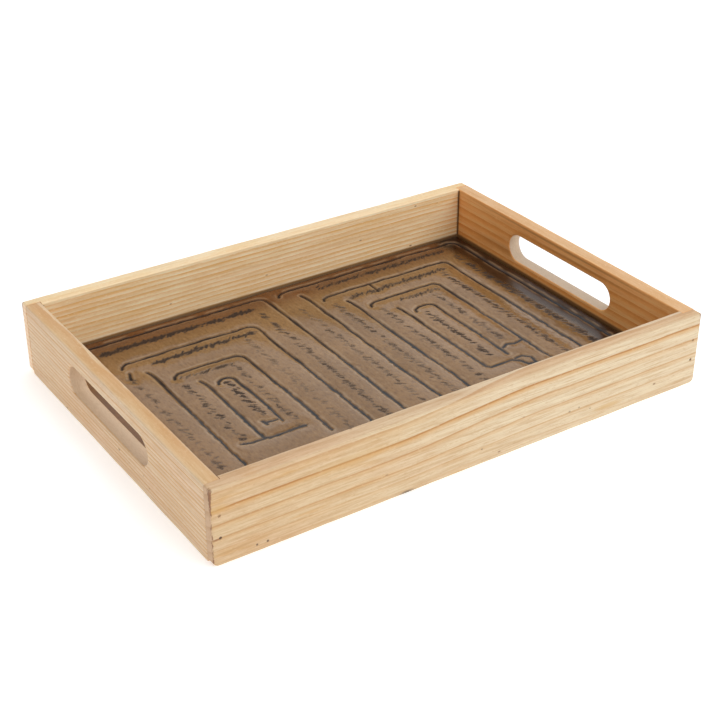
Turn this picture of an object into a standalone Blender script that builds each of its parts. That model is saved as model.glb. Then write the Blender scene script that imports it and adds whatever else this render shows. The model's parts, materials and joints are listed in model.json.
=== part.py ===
"""A pine serving tray with two hand slots and a cast bronze glass floor.

Metres, +Z up. The origin is the middle of the tray's footprint, on the surface
that the tray stands on. +X runs along the tray's length and +Y to its back.
Two long boards run the full length. Rabbets in their ends take the ends of the
two handle boards, with two brads through each corner. A thin plywood base sits
in grooves in all four boards, and the glass panel lies on the base.
"""

import math

import bmesh
import bpy

# The frame of boards
LENGTH = 0.420
WIDTH = 0.300
HEIGHT = 0.060
BOARD = 0.012
FIT = 0.0003
TOP_CORNER = 0.0016
FOOT_CORNER = 0.0045
EDGE_EASING = 0.0009
RABBET_DEPTH = 0.0045

# The hand slot in each short board, cut a little nearer the back
SLOT_LENGTH = 0.128
SLOT_HEIGHT = 0.024
SLOT_CENTRE_Z = 0.0352
LEFT_SLOT_CENTRE_Y = 0.003
RIGHT_SLOT_CENTRE_Y = 0.001

# The plywood base and the grooves that hold it
BASE_THICKNESS = 0.004
BASE_UNDERSIDE_Z = 0.0065
GROOVE_DEPTH = 0.004

# The glass panel, and the gap that it leaves to the boards
PANEL_TOP_Z = 0.016
PANEL_CLEARANCE = 0.0018
PANEL_SHIFT_X = -0.0004
PANEL_CORNER = 0.003

# The relief in the glass: two sets of nested rectangles, each a narrow channel
MOTIF_SPACING = 0.195
MOTIF_SHIFT_X = -0.0095
MOTIF_CENTRE_Y = -0.010
CHANNEL_HALF_WIDTHS = (0.0125, 0.038, 0.068, 0.0975)
CHANNEL_HALF_HEIGHTS = (0.054, 0.080, 0.110, 0.139)
CHANNEL_WIDTH = 0.003
CHANNEL_DEPTH = 0.0011
CHANNEL_CORNER = 0.009

# The brads, two at each corner, driven through the long boards
BRAD_HEIGHTS = (0.0215, 0.0385)
BRAD_LENGTH = 0.026
BRAD_RADIUS = 0.0006
BRAD_HEAD_RADIUS = 0.0010
BRAD_HEAD_THICKNESS = 0.0008
BRAD_SETBACK = 0.0003
BRAD_SIDES = 12

# What follows from the sizes above
INNER_LENGTH = LENGTH - 2 * BOARD
INNER_WIDTH = WIDTH - 2 * BOARD
BASE_OVERLAP = GROOVE_DEPTH - FIT
BASE_TOP_Z = BASE_UNDERSIDE_Z + BASE_THICKNESS
PANEL_UNDERSIDE_Z = BASE_TOP_Z + FIT
PANEL_LENGTH = INNER_LENGTH - 2 * PANEL_CLEARANCE
PANEL_WIDTH = INNER_WIDTH - 2 * PANEL_CLEARANCE

BEVEL_ANGLE = math.radians(50)
SMOOTH_ANGLE = math.radians(35)
ARC_STEP = math.radians(15)
OVERCUT = 0.002


def clear_scene():
    for old in list(bpy.data.objects):
        bpy.data.objects.remove(old, do_unlink=True)


def material(name, color, roughness, metallic=0.0):
    made = bpy.data.materials.new(name)
    made.use_nodes = True
    shader = made.node_tree.nodes["Principled BSDF"]
    shader.inputs["Base Color"].default_value = (*color, 1.0)
    shader.inputs["Roughness"].default_value = roughness
    shader.inputs["Metallic"].default_value = metallic
    made.diffuse_color = (*color, 1.0)
    return made


def corner_arc(centre, radius, start, end):
    """Points along an arc, in steps of about ARC_STEP; angles in radians."""
    steps = max(2, round(abs(end - start) / ARC_STEP))
    angles = (start + (end - start) * i / steps for i in range(steps + 1))
    return [(centre[0] + radius * math.cos(a), centre[1] + radius * math.sin(a)) for a in angles]


def rounded_rectangle(half_width, half_height, bottom_radius, top_radius, centre=(0.0, 0.0)):
    """An outline, anticlockwise, with its own radius at the bottom and at the top corners."""
    corners = (
        (-1, -1, bottom_radius, math.pi),
        (1, -1, bottom_radius, 1.5 * math.pi),
        (1, 1, top_radius, 0.0),
        (-1, 1, top_radius, 0.5 * math.pi),
    )
    points = []
    for side, level, radius, start in corners:
        middle = (
            centre[0] + side * (half_width - radius),
            centre[1] + level * (half_height - radius),
        )
        points += corner_arc(middle, radius, start, start + 0.5 * math.pi)
    return points


def prism(name, outline, place, depth):
    """Extrude a flat outline; place turns its two coordinates into a point, depth is a vector."""
    mesh = bpy.data.meshes.new(name)
    shape = bmesh.new()
    face = shape.faces.new([shape.verts.new(place(*point)) for point in outline])
    raised = bmesh.ops.extrude_face_region(shape, geom=[face])
    moved = [item for item in raised["geom"] if isinstance(item, bmesh.types.BMVert)]
    bmesh.ops.translate(shape, verts=moved, vec=depth)
    bmesh.ops.recalc_face_normals(shape, faces=shape.faces)
    shape.to_mesh(mesh)
    shape.free()
    return add_object(name, mesh)


def box(name, low, high):
    outline = ((low[0], low[1]), (high[0], low[1]), (high[0], high[1]), (low[0], high[1]))
    return prism(name, outline, lambda x, y: (x, y, low[2]), (0.0, 0.0, high[2] - low[2]))


def add_object(name, mesh):
    made = bpy.data.objects.new(name, mesh)
    bpy.context.scene.collection.objects.link(made)
    return made


def finish(piece, made_of):
    piece.data.materials.append(made_of)
    piece.data.shade_smooth()
    piece.data.set_sharp_from_angle(angle=SMOOTH_ANGLE)


def ease_edges(piece, width, segments=2):
    bevel = piece.modifiers.new("eased_edges", "BEVEL")
    bevel.width = width
    bevel.segments = segments
    bevel.limit_method = "ANGLE"
    bevel.angle_limit = BEVEL_ANGLE


def cut(piece, cutter):
    cutter.hide_render = True
    cutter.display_type = "WIRE"
    boolean = piece.modifiers.new("cut_" + cutter.name, "BOOLEAN")
    boolean.operation = "DIFFERENCE"
    boolean.solver = "EXACT"
    boolean.object = cutter


def brad_profile(clearance):
    """Half of a brad's outline, from the head's outer face to the point: (radius, distance)."""
    head_end = BRAD_HEAD_THICKNESS + clearance
    return (
        (BRAD_HEAD_RADIUS + clearance, -OVERCUT if clearance else 0.0),
        (BRAD_HEAD_RADIUS + clearance, head_end),
        (BRAD_RADIUS + clearance, head_end),
        (BRAD_RADIUS + clearance, BRAD_LENGTH - 2 * BRAD_RADIUS),
        (0.4 * BRAD_RADIUS + clearance, BRAD_LENGTH + clearance),
    )


def turned_mesh(name, profile):
    """A turned solid along +Y, closed at both ends by a flat face."""
    mesh = bpy.data.meshes.new(name)
    shape = bmesh.new()
    rings = []
    for radius, distance in profile:
        turns = (2 * math.pi * i / BRAD_SIDES for i in range(BRAD_SIDES))
        ring = [shape.verts.new((radius * math.cos(a), distance, radius * math.sin(a))) for a in turns]
        rings.append(ring)
    for near, far in zip(rings, rings[1:]):
        for i in range(BRAD_SIDES):
            j = (i + 1) % BRAD_SIDES
            shape.faces.new((near[i], near[j], far[j], far[i]))
    shape.faces.new(rings[0])
    shape.faces.new(rings[-1])
    bmesh.ops.recalc_face_normals(shape, faces=shape.faces)
    shape.to_mesh(mesh)
    shape.free()
    return mesh


def place_brads(brad_mesh):
    """Put two brads in each corner; side is -1 at the front and 1 at the back."""
    placed = []
    for side, side_name in ((-1, "front"), (1, "back")):
        for end, end_name in ((-1, "left"), (1, "right")):
            for level, z in zip(("lower", "upper"), BRAD_HEIGHTS):
                brad = add_object(f"brad_{side_name}_{end_name}_{level}", brad_mesh)
                x = end * (LENGTH - BOARD) / 2
                brad.location = (x, side * (WIDTH / 2 - BRAD_SETBACK), z)
                brad.rotation_euler = (0.0, 0.0, math.pi if side > 0 else 0.0)
                placed.append(brad)
    return placed


def drill_for_brads(piece, brads, hole_mesh):
    """Cut a clearance hole in a board for each of the brads that pass through it."""
    for brad in brads:
        hole = add_object(f"{piece.name}_hole_{brad.name}", hole_mesh)
        hole.location = brad.location
        hole.rotation_euler = brad.rotation_euler
        cut(piece, hole)


def long_board(name, side, brads, hole_mesh):
    """The front (side -1) or back (side 1) board: end rabbets and a groove for the base."""
    inner_y = side * INNER_WIDTH / 2
    outline = rounded_rectangle(LENGTH / 2, HEIGHT / 2, FOOT_CORNER, TOP_CORNER)
    board = prism(
        name,
        outline,
        lambda x, z: (x, inner_y, z + HEIGHT / 2),
        (0.0, side * BOARD, 0.0),
    )
    ease_edges(board, EDGE_EASING)
    reach = INNER_LENGTH / 2 + GROOVE_DEPTH
    across = sorted((inner_y - side * OVERCUT, inner_y + side * GROOVE_DEPTH))
    groove = box(
        name + "_groove",
        (-reach, across[0], BASE_UNDERSIDE_Z - FIT),
        (reach, across[1], BASE_TOP_Z + FIT),
    )
    cut(board, groove)
    deep = sorted((inner_y - side * OVERCUT, inner_y + side * RABBET_DEPTH))
    for end, end_name in ((-1, "left"), (1, "right")):
        along = sorted((end * (INNER_LENGTH / 2 - FIT), end * (LENGTH / 2 + OVERCUT)))
        rabbet = box(
            f"{name}_rabbet_{end_name}",
            (along[0], deep[0], -OVERCUT),
            (along[1], deep[1], HEIGHT + OVERCUT),
        )
        cut(board, rabbet)
    drill_for_brads(board, [brad for brad in brads if brad.location.y * side > 0], hole_mesh)
    return board


def handle_board(name, end, slot_centre_y, brads, hole_mesh):
    """The left (end -1) or right (end 1) board, with its hand slot and a through groove."""
    inner_x = end * INNER_LENGTH / 2
    half_width = INNER_WIDTH / 2 + RABBET_DEPTH - FIT
    outline = rounded_rectangle(half_width, HEIGHT / 2, TOP_CORNER, TOP_CORNER / 2)
    board = prism(
        name,
        outline,
        lambda y, z: (inner_x, y, z + HEIGHT / 2),
        (end * BOARD, 0.0, 0.0),
    )
    slot_radius = SLOT_HEIGHT / 2
    slot_outline = rounded_rectangle(SLOT_LENGTH / 2, SLOT_HEIGHT / 2, slot_radius, slot_radius)
    slot = prism(
        name + "_slot",
        slot_outline,
        lambda y, z: (inner_x - end * OVERCUT, y + slot_centre_y, z + SLOT_CENTRE_Z),
        (end * (BOARD + 2 * OVERCUT), 0.0, 0.0),
    )
    cut(board, slot)
    ease_edges(board, EDGE_EASING)
    across = sorted((inner_x - end * OVERCUT, inner_x + end * GROOVE_DEPTH))
    groove = box(
        name + "_groove",
        (across[0], -half_width - OVERCUT, BASE_UNDERSIDE_Z - FIT),
        (across[1], half_width + OVERCUT, BASE_TOP_Z + FIT),
    )
    cut(board, groove)
    drill_for_brads(board, [brad for brad in brads if brad.location.x * end > 0], hole_mesh)
    return board


def base_board():
    half_length = INNER_LENGTH / 2 + BASE_OVERLAP
    half_width = INNER_WIDTH / 2 + BASE_OVERLAP
    return box(
        "base_board",
        (-half_length, -half_width, BASE_UNDERSIDE_Z),
        (half_length, half_width, BASE_TOP_Z),
    )


def channel_cutter(name, centre, half_width, half_height):
    """A rectangular ring with rounded corners, which cuts one channel of the relief."""
    mesh = bpy.data.meshes.new(name)
    shape = bmesh.new()
    loops = []
    for z in (PANEL_TOP_Z - CHANNEL_DEPTH, PANEL_TOP_Z + OVERCUT):
        for grow in (0.5, -0.5):
            offset = grow * CHANNEL_WIDTH
            radius = CHANNEL_CORNER + offset
            outline = rounded_rectangle(
                half_width + offset, half_height + offset, radius, radius, centre
            )
            loops.append([shape.verts.new((x, y, z)) for x, y in outline])
    outer_low, inner_low, outer_high, inner_high = loops
    count = len(outer_low)
    walls = ((outer_low, outer_high), (outer_high, inner_high), (inner_high, inner_low))
    walls += ((inner_low, outer_low),)
    for near, far in walls:
        for i in range(count):
            j = (i + 1) % count
            shape.faces.new((near[i], near[j], far[j], far[i]))
    bmesh.ops.recalc_face_normals(shape, faces=shape.faces)
    shape.to_mesh(mesh)
    shape.free()
    return add_object(name, mesh)


def relief_panel():
    """The glass: a slab with small corner radii and the nested channels in its top."""
    outline = rounded_rectangle(
        PANEL_LENGTH / 2, PANEL_WIDTH / 2, PANEL_CORNER, PANEL_CORNER, (PANEL_SHIFT_X, 0.0)
    )
    panel = prism(
        "relief_panel",
        outline,
        lambda x, y: (x, y, PANEL_UNDERSIDE_Z),
        (0.0, 0.0, PANEL_TOP_Z - PANEL_UNDERSIDE_Z),
    )
    for side, side_name in ((-1, "left"), (1, "right")):
        centre = (side * MOTIF_SPACING / 2 + MOTIF_SHIFT_X, MOTIF_CENTRE_Y)
        sizes = zip(CHANNEL_HALF_WIDTHS, CHANNEL_HALF_HEIGHTS)
        for number, (half_width, half_height) in enumerate(sizes, start=1):
            cutter = channel_cutter(
                f"channel_{side_name}_{number}", centre, half_width, half_height
            )
            cut(panel, cutter)
    return panel


def build():
    clear_scene()
    pine = material("pine", (0.72, 0.50, 0.29), 0.55)
    plywood = material("plywood", (0.60, 0.43, 0.27), 0.7)
    bronze_glass = material("bronze_glass", (0.20, 0.12, 0.06), 0.12)
    steel = material("steel", (0.40, 0.36, 0.32), 0.45, 1.0)

    brad_mesh = turned_mesh("brad", brad_profile(0.0))
    hole_mesh = turned_mesh("brad_hole", brad_profile(FIT))
    brads = place_brads(brad_mesh)
    finish(brads[0], steel)

    boards = (
        long_board("front_board", -1, brads, hole_mesh),
        long_board("back_board", 1, brads, hole_mesh),
        handle_board("left_handle_board", -1, LEFT_SLOT_CENTRE_Y, brads, hole_mesh),
        handle_board("right_handle_board", 1, RIGHT_SLOT_CENTRE_Y, brads, hole_mesh),
    )
    for board in boards:
        finish(board, pine)
    finish(base_board(), plywood)
    finish(relief_panel(), bronze_glass)


build()
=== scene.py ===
"""The looks of a pine serving tray with a cast bronze glass floor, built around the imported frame.

Shapes come first (boards, glass, brads), then their materials, then floor, light and camera.
Lengths are in metres; the relief and the wood's grain are laid out in millimetres.
"""

import json
import math

import bmesh
import bpy
import numpy as np
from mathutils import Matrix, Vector, noise


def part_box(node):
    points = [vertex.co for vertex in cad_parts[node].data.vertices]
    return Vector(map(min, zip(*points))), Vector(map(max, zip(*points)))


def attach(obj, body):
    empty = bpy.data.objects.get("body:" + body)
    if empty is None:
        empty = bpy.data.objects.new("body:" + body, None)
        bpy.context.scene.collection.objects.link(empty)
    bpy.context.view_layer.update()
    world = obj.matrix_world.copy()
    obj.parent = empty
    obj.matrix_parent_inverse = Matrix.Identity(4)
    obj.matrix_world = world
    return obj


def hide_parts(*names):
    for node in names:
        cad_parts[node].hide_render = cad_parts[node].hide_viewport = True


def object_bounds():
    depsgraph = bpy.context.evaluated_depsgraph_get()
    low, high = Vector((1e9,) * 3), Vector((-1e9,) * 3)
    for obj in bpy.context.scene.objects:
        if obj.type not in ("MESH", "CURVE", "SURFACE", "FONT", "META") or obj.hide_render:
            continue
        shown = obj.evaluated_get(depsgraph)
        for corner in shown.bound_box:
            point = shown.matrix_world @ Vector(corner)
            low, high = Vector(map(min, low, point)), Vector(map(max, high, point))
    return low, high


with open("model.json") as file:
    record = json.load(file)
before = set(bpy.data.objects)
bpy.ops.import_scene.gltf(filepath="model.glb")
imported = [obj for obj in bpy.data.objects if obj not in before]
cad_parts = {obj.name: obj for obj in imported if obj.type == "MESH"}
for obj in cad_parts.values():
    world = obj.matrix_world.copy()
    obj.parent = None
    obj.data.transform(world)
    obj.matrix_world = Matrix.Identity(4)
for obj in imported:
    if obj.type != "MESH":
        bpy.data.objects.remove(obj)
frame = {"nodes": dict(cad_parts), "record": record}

cad_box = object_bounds()

MM = 0.001
FIT = 0.3 * MM

# The tray, as the frame has it
LOW, HIGH = cad_box
LENGTH = HIGH.x - LOW.x
LONG_BOARDS = ("front_board", "back_board")
HANDLE_BOARDS = ("left_handle_board", "right_handle_board")
BRADS = sorted(name for name in frame["nodes"] if name.startswith("brad_"))

# How the boards' edges are worked
EDGE_RADIUS = 1.0 * MM
RABBET_GAP = 0.15 * MM
FOOT_RADIUS = 4.5 * MM
RIM_END_RADIUS = 1.6 * MM
SLOT_LENGTH = 128 * MM
SLOT_HEIGHT = 24 * MM
SLOT_EDGE_RADIUS = 1.3 * MM
CUTTER_REACH = 2 * MM
STATION_STEP = 5 * MM
ARC_SEGMENTS = 4
SIDE_SEGMENTS = 5
SMOOTH_ANGLE = math.radians(35)


# ---------------------------------------------------------------- mesh helpers

def add_object(name, mesh):
    made = bpy.data.objects.new(name, mesh)
    bpy.context.scene.collection.objects.link(made)
    return made


def mesh_from_rings(name, rings):
    """A closed solid lofted through rings of points, with a flat face at both ends."""
    mesh = bpy.data.meshes.new(name)
    shape = bmesh.new()
    made = [[shape.verts.new(point) for point in ring] for ring in rings]
    for near, far in zip(made, made[1:]):
        for i in range(len(near)):
            j = (i + 1) % len(near)
            shape.faces.new((near[i], near[j], far[j], far[i]))
    shape.faces.new(made[0])
    shape.faces.new(made[-1])
    bmesh.ops.recalc_face_normals(shape, faces=shape.faces)
    shape.to_mesh(mesh)
    shape.free()
    return mesh


def box_mesh(name, low, high):
    corners = ((0, 0), (1, 0), (1, 1), (0, 1))
    span = (low, high)
    rings = [[(span[i][0], span[j][1], z) for i, j in corners] for z in (low[2], high[2])]
    return mesh_from_rings(name, rings)


def turned_mesh(name, centre, direction, profile, sides=24):
    """A solid turned about a line along Y; the profile lists (radius, distance) from the centre."""
    turns = [2 * math.pi * i / sides for i in range(sides)]
    rings = []
    for radius, distance in profile:
        y = centre[1] + direction * distance
        rings.append(
            [(centre[0] + radius * math.cos(a), y, centre[2] + radius * math.sin(a)) for a in turns]
        )
    return mesh_from_rings(name, rings)


def cut_away(piece, cutter_meshes):
    """Subtract each cutter from the piece and keep only the result."""
    cutters = [add_object("cutter", mesh) for mesh in cutter_meshes]
    for cutter in cutters:
        boolean = piece.modifiers.new("cut", "BOOLEAN")
        boolean.operation = "DIFFERENCE"
        boolean.solver = "EXACT"
        boolean.object = cutter
    bpy.context.view_layer.update()
    depsgraph = bpy.context.evaluated_depsgraph_get()
    result = bpy.data.meshes.new_from_object(piece.evaluated_get(depsgraph))
    piece.modifiers.clear()
    piece.data = result
    for cutter in cutters:
        bpy.data.objects.remove(cutter, do_unlink=True)


def shade(piece):
    piece.data.shade_smooth()
    piece.data.set_sharp_from_angle(angle=SMOOTH_ANGLE)


def place(piece, slot, *nodes):
    """Every piece of this tray rides on its only body and stands for one or more CAD nodes."""
    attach(piece, "root")
    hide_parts(*nodes)


# ---------------------------------------------------------------- boards

def ease(distance, radius):
    """How far a quarter-round of this radius stands back, at a distance from the corner."""
    left = max(0.0, radius - distance)
    return radius - math.sqrt(radius * radius - left * left)


def stations(length, radius):
    """Distances along a board, closer together where its ends are rounded."""
    steps = 6
    near = [radius * (1 - math.cos(0.5 * math.pi * i / steps)) for i in range(steps + 1)]
    count = round((length - 2 * radius) / STATION_STEP)
    middle = [radius + (length - 2 * radius) * i / count for i in range(1, count)]
    return near + middle + [length - s for s in reversed(near)]


def worn_radius(along, corner):
    """The radius of a long edge, which hand sanding leaves a little uneven."""
    slow = noise.noise(Vector((along * 28, corner * 7.3, 0.5)))
    fast = noise.noise(Vector((along * 150, corner * 3.1, 4.5)))
    return EDGE_RADIUS * (1.0 + 0.45 * slow + 0.25 * fast)


def board_ring(low, high, radii):
    """A rounded rectangle, as (across, up) points, with as many points whatever its radii."""
    corners = (
        (low[0], low[1], 1, 1, math.pi),
        (high[0], low[1], -1, 1, 1.5 * math.pi),
        (high[0], high[1], -1, -1, 0.0),
        (low[0], high[1], 1, -1, 0.5 * math.pi),
    )
    arcs = []
    for (v, w, inward_v, inward_w, start), radius in zip(corners, radii):
        centre = (v + inward_v * radius, w + inward_w * radius)
        angles = (start + 0.5 * math.pi * i / ARC_SEGMENTS for i in range(ARC_SEGMENTS + 1))
        arcs.append([(centre[0] + radius * math.cos(a), centre[1] + radius * math.sin(a)) for a in angles])
    ring = []
    for k, arc in enumerate(arcs):
        ring += arc
        pieces = 2 if k % 2 == 0 else SIDE_SEGMENTS
        start, end = arc[-1], arcs[(k + 1) % 4][0]
        for i in range(1, pieces):
            share = i / pieces
            ring.append((start[0] + (end[0] - start[0]) * share, start[1] + (end[1] - start[1]) * share))
    return ring


def board_mesh(node, along_x, foot_radius, end_radius):
    """A board swept along its length, with sanded edges and rounded ends."""
    low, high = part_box(node)
    axis, across = (0, 1) if along_x else (1, 0)
    length = high[axis] - low[axis]
    rings = []
    for s in stations(length, foot_radius):
        from_end = min(s, length - s)
        side = ease(from_end, EDGE_RADIUS)
        corner_low = (low[across] + side, low.z + ease(from_end, foot_radius))
        corner_high = (high[across] - side, high.z - ease(from_end, end_radius))
        radii = [worn_radius(low[axis] + s, corner + 10 * across + low[across]) for corner in range(4)]
        ring = board_ring(corner_low, corner_high, radii)
        u = low[axis] + s
        rings.append([(u, v, w) if along_x else (v, u, w) for v, w in ring])
    return mesh_from_rings(node, rings)


def groove_cutter(node, along_x):
    """The groove for the plywood base, which opens in the board's inner face."""
    low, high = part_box(node)
    base_low, base_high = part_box("base_board")
    across = 1 if along_x else 0
    start, end = list(base_low), list(base_high)
    for k in range(3):
        start[k] -= FIT
        end[k] += FIT
    if not along_x:
        start[1], end[1] = low.y - CUTTER_REACH, high.y + CUTTER_REACH
    if low[across] > 0:
        start[across] = low[across] - CUTTER_REACH
    else:
        end[across] = high[across] + CUTTER_REACH
    return box_mesh("groove", start, end)


def rabbet_cutters(node):
    """The rabbets in a long board's ends, which take the ends of the handle boards."""
    low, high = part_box(node)
    cutters = []
    for handle in HANDLE_BOARDS:
        handle_low, handle_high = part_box(handle)
        start = [handle_low.x - RABBET_GAP, handle_low.y - RABBET_GAP, low.z - CUTTER_REACH]
        end = [handle_high.x + RABBET_GAP, handle_high.y + RABBET_GAP, high.z + CUTTER_REACH]
        if handle_low.x < 0:
            start[0] -= CUTTER_REACH
        else:
            end[0] += CUTTER_REACH
        cutters.append(box_mesh("rabbet", start, end))
    return cutters


def brad_axis(brad):
    """A brad's outer end, on its centre line, and the direction in which it was driven."""
    low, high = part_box(brad)
    middle = (low + high) / 2
    if middle.y < 0:
        return Vector((middle.x, low.y, middle.z)), 1
    return Vector((middle.x, high.y, middle.z)), -1


def hole_cutters(node):
    """Clearance holes for the brads whose box meets this board's box."""
    low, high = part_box(node)
    cutters = []
    for brad in BRADS:
        brad_low, brad_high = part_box(brad)
        if all(brad_low[k] < high[k] and brad_high[k] > low[k] for k in range(3)):
            centre, direction = brad_axis(brad)
            depth = brad_high.y - brad_low.y
            head, shank, sink = 1.1 * MM, 0.9 * MM, 1.1 * MM
            profile = ((head, -CUTTER_REACH), (head, sink), (shank, sink), (shank, depth + FIT))
            cutters.append(turned_mesh("hole", centre, direction, profile, 16))
    return cutters


def stadium(half_length, half_height, centre, segments=12):
    """A slot's outline, as (along, up) points."""
    points = []
    for side in (1, -1):
        for i in range(segments + 1):
            angle = -0.5 * math.pi + math.pi * i / segments
            points.append(
                (
                    centre[0] + side * (half_length - half_height + half_height * math.cos(angle)),
                    centre[1] + side * half_height * math.sin(angle),
                )
            )
    return points


def slot_cutter(node, opening):
    """A hand slot, flared at both faces so that it leaves rounded edges."""
    low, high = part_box(node)
    opening_low, opening_high = opening["box_m"]
    centre = ((opening_low[1] + opening_high[1]) / 2, (opening_low[2] + opening_high[2]) / 2)
    angles = [math.radians(a) for a in (0, 20, 40, 60, 78)]
    rim = [(SLOT_EDGE_RADIUS * (1 - math.sin(a)), SLOT_EDGE_RADIUS * (1 - math.cos(a))) for a in angles]
    beyond = 0.25 * MM
    rim.append((-beyond, rim[-1][1] + math.tan(angles[-1]) * (beyond + rim[-1][0])))
    levels = [(low.x + depth, grow) for depth, grow in reversed(rim)]
    levels += [(high.x - depth, grow) for depth, grow in rim]
    rings = []
    for x, grow in levels:
        outline = stadium(SLOT_LENGTH / 2 + grow, SLOT_HEIGHT / 2 + grow, centre)
        rings.append([(x, y, z) for y, z in outline])
    return mesh_from_rings("slot", rings)


def make_long_board(node):
    board = add_object(node + "_wood", board_mesh(node, True, FOOT_RADIUS, RIM_END_RADIUS))
    cut_away(board, [groove_cutter(node, True)] + rabbet_cutters(node) + hole_cutters(node))
    shade(board)
    place(board, "pine", node)
    return board


def make_handle_board(node, opening):
    board = add_object(node + "_wood", board_mesh(node, False, EDGE_RADIUS, EDGE_RADIUS))
    cut_away(board, [slot_cutter(node, opening), groove_cutter(node, False)] + hole_cutters(node))
    shade(board)
    place(board, "pine", node)
    return board


def make_brad(node):
    """A finishing brad: small domed head, tapered neck, round shank and blunt point."""
    centre, direction = brad_axis(node)
    low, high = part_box(node)
    depth = high.y - low.y
    profile = (
        (0.35 * MM, 0.06 * MM),
        (0.75 * MM, 0.0),
        (0.95 * MM, 0.1 * MM),
        (1.0 * MM, 0.25 * MM),
        (1.0 * MM, 0.5 * MM),
        (0.85 * MM, 0.75 * MM),
        (0.6 * MM, 1.0 * MM),
        (0.6 * MM, depth - 1.6 * MM),
        (0.12 * MM, depth),
    )
    brad = add_object(node + "_steel", turned_mesh(node, centre, direction, profile))
    shade(brad)
    place(brad, "brads", node)
    return brad


# ---------------------------------------------------------------- glass relief

# Sizes in millimetres
GRID_STEP = 0.85
CHANNEL_DEPTH = 0.60
PILLOW_HEIGHT = 1.5
PILLOW_REACH = 15.0
PANEL_EASING = 0.9
PANEL_CORNER = 3.0
OFF_FRONT = -150.0
OFF_LEFT = -210.0
TICKS_PER_MM = 1.3
TICK_WINDOW = 5.0
GLASS_SMOOTH_ANGLE = math.radians(60)

# Channels that run from a hook at their upper left, along the top and down the right side:
# hook x (None where it starts off the glass), top y, right x, lower end y
ARCHES = (
    (None, 130, -11, OFF_FRONT),
    (-160, 93, -41, OFF_FRONT),
    (-134, 58, -71.5, -73),
    (-109, 32, -94.5, -43),
    (1, 129, 187, OFF_FRONT),
    (30, 102, 157, OFF_FRONT),
    (57, 73, 127, OFF_FRONT),
    (83, 45, 102, -56),
)

# Channels down the left side, which start beside the hooks: x, upper y, lower y, foot x or None
LEGS = (
    (-176, 104, OFF_FRONT, None),
    (-145, 73, OFF_FRONT, None),
    (-117, 38, -57, -84),
    (20, 115, OFF_FRONT, None),
    (47.5, 86, OFF_FRONT, None),
    (75.5, 53, -65, 99),
)

# Short side branches that the casting left, as lists of (x, y)
BRANCHES = (
    ((-134, -54), (-126, -56.5), (-117, -56)),
    ((99, -65), (104, -71), (106, -77), (112, -79), (113.5, -70), (109, -64), (103, -65)),
    ((105, -46), (111, -43), (117, -46), (126, -45)),
    ((78, 101), (77, 87)),
    ((-158, 79), (-161.5, 70)),
    ((-107, -36), (-107, -41)),
    ((-106, -38.5), (-97, -39)),
)

# Rows of small ticks along the crests: start, end, relative density, strength
CREST_ROWS = (
    ((-165, 114), (-31, 114.5), 1.5, 1.0),
    ((-138, 80.5), (-46, 81), 1.4, 0.9),
    ((-130, 48), (-82, 46.5), 0.5, 0.8),
    ((36, 117), (166, 118), 1.2, 0.8),
    ((50, 88), (146, 88.5), 1.3, 0.75),
    ((82, 61.5), (122, 61.5), 1.0, 0.7),
    ((-161, 74), (-161, -130), 0.45, 0.6),
    ((-131, 38), (-131, -56), 0.55, 0.8),
    ((-103, 27), (-103, -30), 0.7, 1.0),
    ((-85, 44), (-87, -60), 0.5, 0.65),
    ((-58, 74), (-59, -125), 0.5, 0.5),
    ((-27, 106), (-27, -128), 0.6, 0.7),
    ((5, 92), (5, -128), 0.5, 0.6),
    ((33, 86), (34, -128), 0.6, 0.65),
    ((61, 60), (62, -128), 0.6, 0.7),
    ((88, 36), (88, -52), 0.65, 0.9),
    ((112, 55), (112, -36), 0.6, 0.7),
    ((141, 84), (142, -128), 0.7, 0.8),
    ((170, 104), (171, -128), 0.7, 0.9),
)

# Creases along the crests: the line, its half width and its strength
CREASES = (
    (((-165, 113.5), (-30, 114.5)), 3.0, 0.9),
    (((-138, 80.5), (-46, 81.5)), 1.9, 1.0),
    (((-98, 47), (-90, 47)), 3.0, 0.9),
    (((38, 117), (166, 118.5)), 2.6, 0.6),
    (((50, 88), (146, 88.5)), 2.4, 0.65),
    (((84, 61.5), (120, 61.5)), 2.0, 0.45),
)


def lattice_noise(x, y, cell, seed):
    """Smooth noise from -1 to 1, with features of about one cell, in millimetres."""
    size = 64
    table = np.random.default_rng(seed).uniform(-1, 1, (size, size))
    gx, gy = x / cell + 1000.5, y / cell + 1000.5
    ix, iy = np.floor(gx).astype(int), np.floor(gy).astype(int)
    fx, fy = gx - ix, gy - iy
    fx, fy = fx * fx * (3 - 2 * fx), fy * fy * (3 - 2 * fy)
    a = table[iy % size, ix % size]
    b = table[iy % size, (ix + 1) % size]
    c = table[(iy + 1) % size, ix % size]
    d = table[(iy + 1) % size, (ix + 1) % size]
    return (a * (1 - fx) + b * fx) * (1 - fy) + (c * (1 - fx) + d * fx) * fy


def smooth_step(value, low, high):
    t = np.clip((value - low) / (high - low), 0, 1)
    return t * t * (3 - 2 * t)


def distance_to_path(x, y, path):
    """Distance from every point to the nearest stretch of a path."""
    nearest = np.full(x.shape, 1e9)
    for (x0, y0), (x1, y1) in zip(path, path[1:]):
        dx, dy = x1 - x0, y1 - y0
        share = np.clip(((x - x0) * dx + (y - y0) * dy) / (dx * dx + dy * dy), 0, 1)
        nearest = np.minimum(nearest, np.hypot(x - x0 - share * dx, y - y0 - share * dy))
    return nearest


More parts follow.
